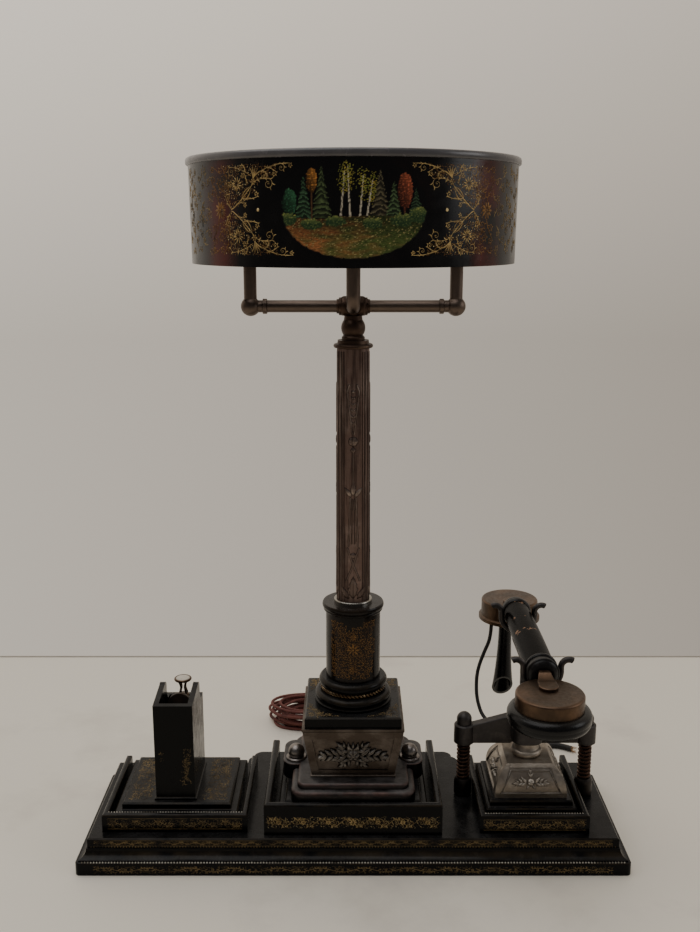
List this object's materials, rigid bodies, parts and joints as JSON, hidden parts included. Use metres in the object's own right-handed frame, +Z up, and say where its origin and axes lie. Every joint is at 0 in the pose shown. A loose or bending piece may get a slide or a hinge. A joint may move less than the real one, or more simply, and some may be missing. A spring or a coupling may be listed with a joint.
{
  "type": "desk set with lamp and telephone",
  "caption": "Stepped lacquer desk set: drum-shaded table lamp on a tall column, desk telephone with a lift-off handset on a sprung cradle, and a tall match case.",
  "frame": {"origin": "middle of the base's underside", "axes": "+X to the telephone's side (right, seen from the front), +Y to the back, +Z up"},
  "size_m": [0.45, 0.3649, 0.5615],
  "materials": {
    "black_lacquer": "gloss lacquer with gold ornament",
    "pewter": "worn silvered casting",
    "dark_metal": "darkened, semi-matt",
    "bronze": "brown patina with worn high spots",
    "bright_metal": "polished",
    "gold": "gilt",
    "brass": "brown, worn",
    "ebonite": "black, rubbed",
    "steel": "plain",
    "spring_steel": "rusty brown",
    "brown_liner": "brown, matt",
    "bulb_glass": "clear",
    "brown_insulation": "moulded",
    "maroon_braid": "braided, faded",
    "dark_cord": "dull",
    "chrome": "mirror"
  },
  "bodies": {
    "desk_set": {"base_board": "black_lacquer", "base_cover": "black_lacquer", "base_tier": "black_lacquer", "terminal_block": "brown_insulation", "left_tray": "black_lacquer", "left_plinth": "black_lacquer", "match_case": "black_lacquer", "match_liner": "brown_liner", "wand_socket": "steel", "lamp_tray": "black_lacquer", "sub_plinth": "black_lacquer", "lamp_plinth": "pewter", "pedestal_die": "pewter", "pedestal_relief": "pewter", "pedestal_slab": "black_lacquer", "column_foot": "black_lacquer", "rope_ring": "gold", "drum": "black_lacquer", "drum_cap": "black_lacquer", "column_ring": "bright_metal", "column": "bronze", "column_relief": "bronze", "neck": "bronze", "tie_rod": "steel", "hub": "bronze", "arms": "dark_metal", "lampholders": "brass", "bulbs": "bulb_glass", "stems": "dark_metal", "shade_spider": "dark_metal", "shade_wall": "black_lacquer", "shade_rim": "black_lacquer", "phone_tray": "black_lacquer", "phone_plinth": "black_lacquer", "phone_bell": "pewter", "bell_reliefs": "pewter", "bell_collar": "pewter", "contact_set": "brown_insulation", "guide_rods": "steel", "spring_cups": "dark_metal", "spring_left": "spring_steel", "spring_right": "spring_steel", "handset_cord": "dark_cord", "line_cord": "dark_cord", "lamp_cord": "maroon_braid", "lamp_cord_hank": "maroon_braid", "lamp_plug": "ebonite", "cord_glands": "ebonite"},
    "wand": {"striker_wand": "chrome"},
    "left_switch": {"knob_left": "pewter"},
    "right_switch": {"knob_right": "pewter"},
    "cradle": {"yoke": "dark_metal", "cradle": "dark_metal"},
    "handset": {"handset_handle": "ebonite", "handset_collars": "dark_metal", "ear_strap": "brass", "ear_cup": "brass", "ear_cap": "ebonite", "mic_cup": "brass", "mic_horn": "ebonite"}
  },
  "joints": [
    {"name": "wand_lift", "type": "slide", "parent": "desk_set", "child": "wand", "axis": [0, 0, 1], "range_m": [0, 0.055]},
    {"name": "left_switch_turn", "type": "hinge", "parent": "desk_set", "child": "left_switch", "pos_m": [-0.0485, 0, 0.066], "axis": [0, 0, 1], "range_deg": [0, 90]},
    {"name": "right_switch_turn", "type": "hinge", "parent": "desk_set", "child": "right_switch", "pos_m": [0.0485, 0, 0.066], "axis": [0, 0, 1], "range_deg": [0, 90]},
    {"name": "handset_lift", "type": "slide", "parent": "desk_set", "child": "handset", "axis": [0, 0, 1], "range_m": [0, 0.07]},
    {"name": "cradle_rise", "type": "slide", "parent": "desk_set", "child": "cradle", "axis": [0, 0, 1], "range_m": [0, 0.005], "stiffness_N_per_m": 900, "springref_m": 0.012, "deforming": ["spring_left", "spring_right"]}
  ],
  "couplings": [
    {"joint": "cradle_rise", "follows": "handset_lift", "ratio": 0.07142}
  ]
}
